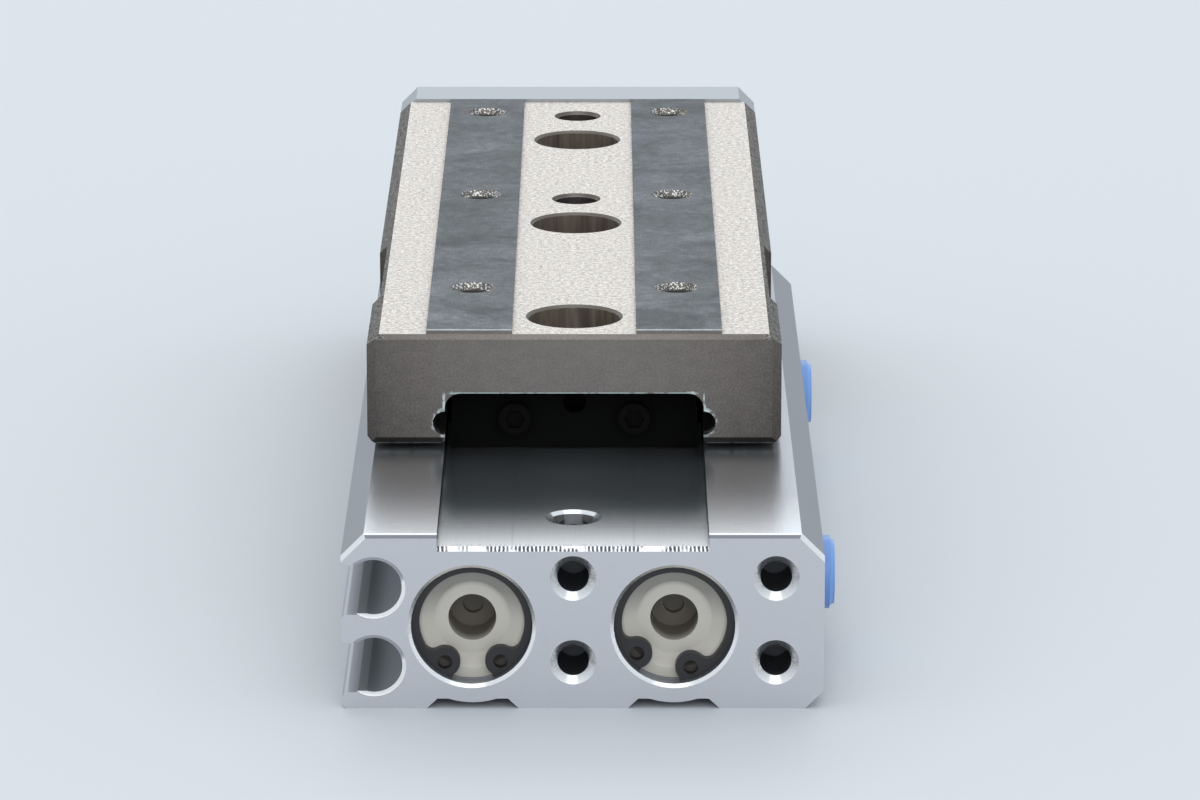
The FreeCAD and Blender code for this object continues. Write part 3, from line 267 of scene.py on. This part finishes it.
def paintBody():
    paint = Surface("body aluminium")
    spots, look, grain, share, finish = bodySpots, bodyLook, bodyGrain, bodyShare, bodyFinish
    headEnd = spots["headEnd"]
    up = paint.up * paint.z.above(spots["channelFoot"], 0.2)
    onFloor = 1 - paint.z.above(spots["landFoot"], 0.3)
    endOn = (-paint.faceY).above(0.93, 0.04)
    bevel = (-paint.faceY).between(0.4, 0.93, 0.04)
    topBevel = bevel * paint.z.above(spots["topBevelFoot"], 0.2) * (1 - abs(paint.faceX).above(0.25, 0.1))
    topBevel = topBevel * (1 - paint.y.above(headEnd + spots["topBevelEnd"], 0.1))
    # lengthwise draw lines on the extrusion, finer milling streaks on the top
    drawn = paint.noise(1.0, 3.0, paint.stretched(*grain["drawn"]))
    milled = paint.noise(1.0, 4.0, paint.stretched(*grain["milled"]), roughness=0.7)
    fine = paint.noise(grain["fine"], 2.0)
    seam = abs(abs(paint.x) - spots["seam"]).above(spots["seamHalf"], 0.08)
    topLevel = 1 + milled.centred() * share["milled"] - (1 - seam) * share["seam"]
    # the last millimetres at the head end are painted paler and made smoother, fading away from the end: a
    # painted highlight where the top catches the light
    paintedSheen = 1 - paint.y.above(headEnd + spots["sheenEnd"], spots["sheenFade"])
    paintedSheen = paintedSheen * (share["landSheen"] + onFloor * (1 - share["landSheen"]))
    # short tool marks where the cutter left the head end
    nearEnd = 1 - paint.y.above(headEnd + spots["chatterEnd"], 0.5)
    chatter = paint.noise(1.0, 1.0, paint.stretched(*grain["chatter"])).above(grain["chatterEdge"], 0.04)
    topLevel = topLevel - nearEnd * chatter * up * onFloor * share["chatter"]
    # the slopes along the top are painted darker: painted shade
    onSlope = abs(paint.faceX).between(0.4, 0.9) * paint.z.above(spots["slopeFoot"], 0.1)
    side = paint.tone(look["extruded"], 1 + drawn.centred() * share["drawn"] - onSlope * share["slopeShade"])
    inGroove = paint.x.between(*spots["grooveAcross"], 0.15) * paint.z.between(*spots["grooveHeight"], 0.1)
    inGroove = inGroove * (1 - endOn)
    # inside the switch grooves is painted darker grey: painted shade in the groove
    side = paint.mix(side, look["groove"], inGroove)
    inner = paint.mix(look["milled"], look["channelFloor"], onFloor)
    top = paint.tone(paint.mix(inner, look["headEndSheen"], paintedSheen), topLevel)
    ends = paint.tone(look["endFace"], 1 + fine.centred() * share["ends"])
    colour = paint.mix(side, top, up)
    colour = paint.mix(colour, ends, endOn)
    # bevels are painted near white: freshly cut faces, with a painted highlight where they catch the light
    colour = paint.mix(colour, look["freshCutHighlight"], bevel)
    # the cones of the end holes keep that painted highlight below and take a painted shade above, where
    # they turn from the light
    lowRow, highRow = spots["endHoles"][0][1], spots["endHoles"][2][1]
    rise = paint.z - lowRow
    rise = rise - paint.z.above(spots["betweenHoleRows"], 0.1) * (highRow - lowRow)
    onCone = paint.ring(abs(paint.x), paint.z, spots["endHoles"], spots["endConeRadius"])
    onCone = onCone * bevel * rise.above(share["coneFrom"], share["coneFade"])
    onCone = onCone * (share["cone"] + fine.centred() * share["coneGrain"])
    colour = paint.mix(colour, look["coneShade"], onCone)
    # on the lands the top bevel is painted dull grey as painted shade, with a painted highlight on its
    # upper edge; on the channel floor it is painted bright as a painted highlight, with fine ticks
    ticks = paint.waves(paint.x + drawn * grain["tickWander"] * (grain["tickPitch"] / (2 * math.pi)),
                        grain["tickPitch"]).above(grain["tickEdge"], 1.0)
    ticks = ticks * paint.noise(grain["tickPatches"], 1.0).above(grain["tickPatchEdge"], 0.1)
    dull = paint.mix(look["topBevel"], look["freshCutHighlight"], paint.z.above(spots["landEdge"], 0.06))
    bright = paint.mix(look["freshCutHighlight"], look["tick"], ticks)
    colour = paint.mix(colour, paint.mix(dull, bright, onFloor), topBevel)
    # the channel's side walls are painted near black: painted shade
    wall = abs(paint.x).between(*spots["wallAcross"]) * abs(paint.faceX).above(0.9)
    wall = wall * paint.z.above(spots["wallFoot"], 0.1)
    colour = paint.mix(colour, look["channelWallShade"], wall)
    # the sunk ring at each groove's end is bright where it is turned to the light
    first, last = spots["grooveEndDepth"]
    sunk = paint.y.between(headEnd + first, headEnd + last)
    for across, height in spots["grooves"]:
        lean = paint.x - across - (paint.z - height) * share["groovesLean"]
        lit = lean.above(share["groovesLit"], share["groovesFade"])
        rim = paint.ring(paint.x, paint.z, [(across, height)], spots["grooveEnd"] + 0.05, 0.02)
        colour = paint.mix(colour, look["freshCutHighlight"], rim * sunk * lit)
        colour = paint.mix(colour, look["extruded"], rim * sunk * (1 - lit))
    roughness = finish["roughness"] - up * finish["top"]
    roughness = roughness - up * onFloor * (finish["floor"] - paintedSheen * finish["sheenFloor"])
    roughness = roughness + endOn * finish["ends"] - bevel * finish["bevel"]
    roughness = roughness + topBevel * finish["topBevel"] + inGroove * finish["groove"]
    roughness = roughness + drawn.centred() * finish["drawn"] * (1 - up)
    # threads in the four end holes, drawn as a wave along the hole, with painted shade darkening the hole
    inHole = paint.ring(paint.x, paint.z, spots["endHoles"], spots["endHoleRadius"])
    inHole = inHole * paint.y.above(headEnd + spots["endConeDepth"], 0.1)
    colour = paint.mix(colour, look["endHoleShade"], inHole * share["endHoleShade"])
    turns = paint.waves(paint.y, grain["threadPitch"])
    thread = paint.bump(turns * inHole, finish["threadDepth"], finish["threadStrength"])
    relief = milled * up * (1 - onFloor * share["landMilled"]) + fine * endOn * share["endGrain"]
    normal = paint.bump(relief, finish["grainDepth"], finish["grainStrength"], thread)
    metallic = finish["metallic"] - inGroove * finish["grooveMetallic"]
    return paint.finish(colour, roughness, metallic, normal)


# The table, in the same order.
tableSpots = {
    "bandTop": 31.8,
    "top": 31.6,
    "topFade": 0.3,
    "front": -22.65,
    "frontDepth": 1.3,
    "frontHighlight": 0.62,
    "bandSetback": 0.4,
    "halfWidth": 22.4,
    "middleZ": 25.4,
    "tunnelTop": 25.1,
    "tunnelHalf": 14.0,
    "cornerFrom": 12.2,
    "race": (13.75, 21.8),
    "raceReach": 1.7,
    "footEdge": 19.46,
    "footAcross": (14.0, 21.5),
    "coneReach": 18.0,
    "tapConeFrom": 7.5,
    "sideBevelFrom": 20.5,
    "pocketAcross": (21.0, 21.9),
    "pocketFoot": 20,
    "holes": [(0, -14.35), (0, 29.8), (0, 73.95)],
    "holeReach": 5.4,
    "tappedHoles": [(11.3, -2.95), (11.3, 42.55), (11.3, 88.05)],
    "tapReach": 1.8,
}
tableLook = {
    "blasted": rgb(216, 211, 205),
    "ground": rgb(84, 87, 90),
    "groundLight": rgb(134, 137, 140),
    "milled": rgb(114, 108, 104),
    "grazing": rgb(208, 208, 208),
    "holeEdge": rgb(110, 104, 98),
    "chipHighlight": rgb(196, 210, 207),
    "holeWall": rgb(124, 114, 105),
    "tapShade": rgb(64, 62, 60),
    "edgeHighlight": rgb(226, 225, 222),
}
tableGrain = {
    "pits": 1.9,
    "fine": 4.5,
    "cloud": 0.11,
    "cloudEdge": 0.52,
    "haze": 0.9,
    "scratch": (6.0, 0.5, 1.0),
    "cross": (0.6, 6.0, 1.0),
    "holeStreaks": (1.6, 1.6, 0.15),
    "chipEdge": 0.54,
    "burrEdge": 0.45,
    "footEdge": 0.42,
    "glintEdge": 0.56,
    "threadPitch": 0.7,
}
tableShare = {
    "pits": 1.5,
    "fine": 1.1,
    "groundHaze": 1.2,
    "groundScratch": 0.6,
    "groundFine": 0.5,
    "front": 1.1,
    "frontSideShade": 0.42,
    "frontShadeRise": 0.028,
    "frontCross": 0.3,
    "frontFine": 0.65,
    "burr": 0.75,
    "bevel": 0.3,
    "bevelSpeckle": 0.9,
    "pocket": 0.26,
    "pocketSpeckle": 0.2,
    "holeWall": 0.2,
    "holeStreaks": 1.5,
    "edgeHighlight": 0.35,
    "edgeHaze": 0.8,
}
tableFinish = {
    "roughness": 0.36,
    "blasted": 0.3,
    "sideBevel": 0.25,
    "band": 0.1,
    "haze": 0.1,
    "metallic": 0.92,
    "blastedMetallic": 0.35,
    "holeMetallic": 0.5,
    "pocketMetallic": 0.4,
    "threadDepth": 0.0001,
    "threadStrength": 0.8,
    "pitDepth": 0.00008,
    "pitStrength": 0.6,
}


def paintTable():
    paint = Surface("table steel")
    spots, look, grain, share, finish = tableSpots, tableLook, tableGrain, tableShare, tableFinish
    across = abs(paint.x)
    up = paint.up
    onBand = up * paint.z.above(spots["bandTop"], 0.1)
    atTop = paint.z.above(spots["top"] - spots["topFade"], 0.1)
    onBlasted = up * atTop * (1 - onBand)
    behindFront = paint.y.above(spots["front"] + spots["frontDepth"], 0.1)
    atFront = 1 - behindFront
    leaning = paint.faceZ.between(0.3, 0.9)
    cone = leaning * atTop * (1 - across.above(spots["coneReach"], 0.5)) * behindFront
    tapCone = cone * across.above(spots["tapConeFrom"], 0.5)
    sideBevel = leaning * across.above(spots["sideBevelFrom"], 0.3)
    # grit blasting: pits two or three to the millimetre, paler on top than on the bevels
    pits = paint.noise(grain["pits"], 2.0, roughness=0.8)
    fine = paint.noise(grain["fine"], 1.0)
    speckle = pits.centred() * share["pits"] + fine.centred() * share["fine"]
    # the ground bands are cloudy, with faint lengthwise scratches
    cloud = paint.noise(grain["cloud"], 5.0, distortion=0.7, roughness=0.6)
    haze = paint.noise(grain["haze"], 4.0, roughness=0.7)
    scratch = paint.noise(1.0, 2.0, paint.stretched(*grain["scratch"]))
    cross = paint.noise(1.0, 3.0, paint.stretched(*grain["cross"]))
    blasted = paint.tone(look["blasted"], 1 + speckle)
    ground = paint.mix(look["ground"], look["groundLight"], cloud.above(grain["cloudEdge"], 0.35))
    level = 1 + haze.centred() * share["groundHaze"] + scratch.centred() * share["groundScratch"]
    ground = paint.tone(ground, level + fine.centred() * share["groundFine"])
    # painted shade: the front is darker towards the legs and the foot
    dull = share["front"] - (paint.x / spots["halfWidth"]).math("POWER", 2) * share["frontSideShade"]
    dull = dull + (paint.z - spots["middleZ"]) * share["frontShadeRise"]
    grit = cross.centred() * share["frontCross"] + fine.centred() * share["frontFine"]
    milled = paint.tone(look["milled"], dull + grit)
    # small chips round the mouth of the tunnel, and a thin burr along its whole edge, painted bright: real
    # chips and burr with a painted highlight
    past = across - spots["tunnelHalf"]
    past = past.math("MAXIMUM", paint.z - spots["tunnelTop"])
    chips = (1 - abs(past - 0.05).above(0.16, 0.1)) * haze.above(grain["chipEdge"], 0.06) * atFront
    chips = chips * across.above(spots["cornerFrom"], 0.8)
    burr = (1 - abs(past - 0.02).above(0.08)) * haze.above(grain["burrEdge"], 0.1) * atFront
    chips = chips.math("MAXIMUM", burr * share["burr"])
    race = paint.ring(across, paint.z, [spots["race"]], spots["raceReach"], 0.3)
    chips = chips.math("MAXIMUM", race * haze.above(grain["chipEdge"], 0.08) * atFront)
    # a painted highlight along the bottom edge of the feet
    footEdge = (1 - paint.z.above(spots["footEdge"], 0.08)) * across.between(*spots["footAcross"], 1.0)
    footEdge = footEdge * haze.above(grain["footEdge"], 0.1)
    chips = chips.math("MAXIMUM", footEdge * atFront)
    milled = paint.mix(milled, look["chipHighlight"], chips)
    colour = paint.mix(milled, blasted, up * atTop)
    colour = paint.mix(colour, ground, onBand)
    # the side bevels take the blasted colour painted darker: painted shade
    bevelShade = paint.tone(look["blasted"], share["bevel"] + speckle * share["bevelSpeckle"])
    colour = paint.mix(colour, bevelShade, sideBevel)
    inPocket = abs(paint.faceX).above(0.9) * across.between(*spots["pocketAcross"], 0.1)
    inPocket = inPocket * paint.z.above(spots["pocketFoot"], 1)
    pocket = paint.tone(look["blasted"], share["pocket"] + speckle * share["pocketSpeckle"])
    colour = paint.mix(colour, pocket, inPocket)
    inHoles = paint.ring(paint.x, paint.y, spots["holes"], spots["holeReach"], 0.1)
    inHoles = inHoles * (1 - up) * paint.z.above(spots["tunnelTop"] - 0.1)
    streaks = paint.noise(1.0, 2.0, paint.stretched(*grain["holeStreaks"]))
    holeWall = paint.tone(look["holeWall"], share["holeWall"] + streaks * share["holeStreaks"])
    colour = paint.mix(colour, holeWall, inHoles)
    # a painted highlight: a thin bright line where each strip of the top ends at the front
    lineEnd = spots["front"] + spots["frontHighlight"]
    frontHighlight = up * atTop * (1 - (paint.y - onBand * spots["bandSetback"]).above(lineEnd, 0.06))
    colour = paint.mix(colour, look["edgeHighlight"], frontHighlight * (share["edgeHighlight"] + haze * share["edgeHaze"]))
    colour = paint.mix(colour, look["holeEdge"], cone)
    # painted glints on the cones of the tapped holes
    glints = fine.above(grain["glintEdge"])
    colour = paint.mix(colour, paint.mix(look["holeEdge"], look["edgeHighlight"], glints), tapCone)
    roughness = finish["roughness"] + onBlasted * finish["blasted"] + sideBevel * finish["sideBevel"]
    roughness = roughness - onBand * finish["band"] + haze.centred() * finish["haze"]
    # threads in the tapped holes, and painted shade darkening their walls
    tapped = paint.ring(across, paint.y, spots["tappedHoles"], spots["tapReach"]) * (1 - up)
    colour = paint.mix(colour, look["tapShade"], tapped * (1 - cone))
    turns = paint.waves(paint.z, grain["threadPitch"])
    thread = paint.bump(turns * tapped, finish["threadDepth"], finish["threadStrength"])
    relief = pits * (up * (1 - onBand) + sideBevel)
    normal = paint.bump(relief, finish["pitDepth"], finish["pitStrength"], thread)
    metallic = finish["metallic"] - onBlasted * finish["blastedMetallic"]
    metallic = metallic - inHoles * finish["holeMetallic"] - inPocket * finish["pocketMetallic"]
    return paint.finish(colour, roughness, metallic, normal, **{"Specular Tint": look["grazing"]})


capLook = {
    "plastic": rgb(198, 196, 188),
    "recessShade": rgb(122, 116, 106),
    "roughness": 0.5,
    "grain": 4.0,
    "grainShare": 0.04,
    "axes": [(-10.5, 8.85), (10.5, 8.85)],
    "recessRadius": 2.6,
    "recessMouth": -51.9,
    "recessDepth": 2.2,
    "dish": 3.7,
    "dishShade": 0.42,
    "dishShadeRise": 1.5,
    "dishShadeFade": 3,
    "eyes": [(-13.32, 4.60), (-7.55, 4.69), (6.62, 5.54), (12.20, 4.04)],
    "eyeReach": 0.95,
    "eyeShade": rgb(74, 70, 66),
}


def paintCaps():
    paint = Surface("cap plastic")
    look = capLook
    grain = paint.noise(look["grain"], 3.0)
    # painted shade: the blind recess gets darker with its depth
    sunk = paint.y.above(look["recessMouth"] + look["recessDepth"] / 2, look["recessDepth"])
    sunk = sunk * paint.ring(paint.x, paint.z, look["axes"], look["recessRadius"])
    colour = paint.mix(look["plastic"], look["recessShade"], sunk)
    # the dished face turns away from the light above its middle
    outside = 1 - paint.ring(paint.x, paint.z, look["axes"], look["dish"], 0.5)
    shadeFrom = look["axes"][0][1] + look["dishShadeRise"]
    shade = outside * paint.z.above(shadeFrom, look["dishShadeFade"]) * look["dishShade"]
    colour = paint.tone(colour, 1 + grain.centred() * look["grainShare"] - shade)
    # the eyes of the retaining rings show only unlit plastic
    behindEye = paint.ring(paint.x, paint.z, look["eyes"], look["eyeReach"], 0.1)
    colour = paint.mix(colour, look["eyeShade"], behindEye)
    return paint.finish(colour, look["roughness"], 0.0)


# Finishes that are the same all over a piece, apart from a fine grain: "ends" is painted shade on
# the faces across the bores, "shine" a weaker reflection.
plainLooks = {
    "plate aluminium": {"colour": rgb(170, 174, 178), "grain": 0.06, "roughness": 0.42, "metallic": 0.9},
    "guide steel": {"colour": rgb(118, 119, 122), "grain": 0.1, "roughness": 0.3, "metallic": 1.0,
                    "ends": rgb(24, 25, 27)},
    # the caps' own black plastic, darkened further as painted shade
    "guide plastic in painted shade": {"colour": rgb(7, 7, 7), "grain": 0.1, "roughness": 0.8, "metallic": 0.0,
                      "shine": 0.1},
    "ring steel": {"colour": rgb(60, 60, 61), "grain": 0.2, "roughness": 0.42, "metallic": 0.7},
    "seal rubber": {"colour": rgb(30, 30, 31), "grain": 0.1, "roughness": 0.6, "metallic": 0.0},
    "rod steel": {"colour": rgb(212, 214, 217), "grain": 0.04, "roughness": 0.14, "metallic": 1.0},
    "ball steel": {"colour": rgb(214, 215, 218), "grain": 0.02, "roughness": 0.08, "metallic": 1.0},
    "piston aluminium": {"colour": rgb(196, 199, 203), "grain": 0.06, "roughness": 0.32, "metallic": 0.95},
    "magnet": {"colour": rgb(48, 48, 50), "grain": 0.1, "roughness": 0.5, "metallic": 0.3},
    "bumper rubber": {"colour": rgb(58, 56, 54), "grain": 0.08, "roughness": 0.65, "metallic": 0.0},
    "cover aluminium": {"colour": rgb(190, 193, 197), "grain": 0.06, "roughness": 0.34, "metallic": 0.95},
    "plug plastic": {"colour": rgb(116, 160, 228), "grain": 0.05, "roughness": 0.38, "metallic": 0.0},
    "screw steel": {"colour": rgb(62, 62, 65), "grain": 0.15, "roughness": 0.38, "metallic": 0.8},
    # painted shade: near black and matte, so the screws sink into the dark opening
    "cap screws in painted shade": {"colour": rgb(11, 9, 8), "grain": 0.15, "roughness": 0.8, "metallic": 0.0,
                        "shine": 0.1},
}
plainGrain = {
    "scale": 4.0,
    "detail": 3.0,
    "roughnessShare": 0.08,
}


def paintPlain(name, look):
    paint = Surface(name)
    grain = paint.noise(plainGrain["scale"], plainGrain["detail"])
    colour = paint.tone(look["colour"], 1 + grain.centred() * look["grain"])
    if "ends" in look:
        colour = paint.mix(colour, look["ends"], abs(paint.faceY).above(0.9))
    roughness = look["roughness"] + grain.centred() * plainGrain["roughnessShare"]
    shine = {"Specular IOR Level": look["shine"]} if "shine" in look else {}
    return paint.finish(colour, roughness, look["metallic"], **shine)


# Which nodes take which finish: a name ending in "_" stands for all nodes that start with it.
finishedNodes = {
    "plate aluminium": ["end_plate"],
    "guide steel": ["guide_block"],
    "guide plastic in painted shade": ["guide_end_cap_head_side", "guide_end_cap_rod_side"],
    "ring steel": ["head_retaining_ring_", "rod_retaining_ring_"],
    "seal rubber": ["head_cap_o_ring_", "rod_cover_o_ring_", "rod_seal_left", "rod_seal_right",
                    "piston_seal_"],
    "rod steel": ["piston_rod_"],
    "ball steel": ["guide_balls_"],
    "piston aluminium": ["piston_left", "piston_right", "magnet_retainer_"],
    "magnet": ["piston_magnet_"],
    "bumper rubber": ["head_bumper_", "rod_bumper_"],
    "cover aluminium": ["rod_cover_left", "rod_cover_right", "rod_seal_washer_"],
    "plug plastic": ["port_plug_"],
    "screw steel": ["guide_block_screws", "end_plate_screws", "rod_end_screws", "piston_nut_"],
    "cap screws in painted shade": ["guide_end_cap_screws"],
}


def nodesOf(names):
    for nodeName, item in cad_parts.items():
        for name in names:
            if nodeName == name or (name.endswith("_") and nodeName.startswith(name)):
                yield item


def dress(item, material):
    item.data.materials.clear()
    item.data.materials.append(material)


dress(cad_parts["body"], paintBody())
dress(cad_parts["slide_table"], paintTable())
capPlastic = paintCaps()
for item in nodesOf(["head_cap_left", "head_cap_right"]):
    dress(item, capPlastic)
for finishName, names in finishedNodes.items():
    material = paintPlain(finishName, plainLooks[finishName])
    for item in nodesOf(names):
        dress(item, material)
print("slide table: finishes on", len(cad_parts), "nodes")

# Floor, world, lamps and camera, in metres
stageLook = {
    "floorSize": 8.0,
    "floor": rgb(198, 205, 212),
    "floorRoughness": 0.6,
    "background": rgb(218, 226, 233),
    "fill": 0.92,
}


def makeFloor():
    half = stageLook["floorSize"] / 2
    mesh = bpy.data.meshes.new("floor")
    corners = [(-half, -half, 0), (half, -half, 0), (half, half, 0), (-half, half, 0)]
    mesh.from_pydata(corners, [], [(0, 1, 2, 3)])
    floor = bpy.data.objects.new("floor", mesh)
    bpy.context.scene.collection.objects.link(floor)
    paint = Surface("floor")
    mesh.materials.append(paint.finish(stageLook["floor"], stageLook["floorRoughness"], 0.0))


def makeWorld():
    world = bpy.data.worlds.new("studio")
    bpy.context.scene.world = world
    paint = Paint(world)
    rays = [paint.node("ShaderNodeLightPath", {}, {}, "Is %s Ray" % kind)
            for kind in ("Camera", "Glossy", "Transmission")]
    direct = rays[0].math("MAXIMUM", rays[1]).math("MAXIMUM", rays[2])
    white = rgb(255, 255, 255)
    fill = paint.node("ShaderNodeBackground", {}, {"Color": white, "Strength": stageLook["fill"]})
    backdrop = paint.node("ShaderNodeBackground", {}, {"Color": stageLook["background"], "Strength": 1.0})
    choice = paint.node("ShaderNodeMixShader", {}, {0: direct, 1: fill, 2: backdrop})
    paint.node("ShaderNodeOutputWorld", {}, {"Surface": choice}, None)


lampAim = (0, 0, 0.02)
lamps = {
    "behind": {"place": (-0.1, 1.15, 0.8), "size": (1.6, 0.6), "power": 4.2},
    "above": {"place": (0.03, -0.1, 1.3), "size": (1.0, 1.0), "power": 2.4},
    "front": {"place": (0.15, -1.1, 0.55), "size": (0.9, 0.5), "power": 2.5},
}


def makeLamps():
    for name, look in lamps.items():
        light = bpy.data.lights.new(name, "AREA")
        light.shape = "RECTANGLE"
        light.size, light.size_y = look["size"]
        light.energy = look["power"]
        lamp = bpy.data.objects.new(name, light)
        bpy.context.scene.collection.objects.link(lamp)
        lamp.location = look["place"]
        offset = [aim - place for aim, place in zip(lampAim, look["place"])]
        flat = math.hypot(offset[0], offset[1])
        lamp.rotation_euler = (math.atan2(flat, -offset[2]), 0, math.atan2(-offset[0], offset[1]))


cameraSet = {
    "place": (0.00268, -0.66205, 0.1957),
    "tilt": 75,
    "lens": 183.954,
    "sensor": 36,
    "shift": 1 / 1200,
}


def makeCamera():
    data = bpy.data.cameras.new("camera")
    data.sensor_width = cameraSet["sensor"]
    data.lens = cameraSet["lens"]
    data.shift_x = cameraSet["shift"]
    camera = bpy.data.objects.new("camera", data)
    camera.location = cameraSet["place"]
    camera.rotation_euler = (math.radians(cameraSet["tilt"]), 0, 0)
    bpy.context.scene.collection.objects.link(camera)
    bpy.context.scene.camera = camera


makeFloor()
makeWorld()
makeLamps()
makeCamera()
bpy.context.scene.view_settings.view_transform = "Standard"
print("slide table: floor, light and camera set")
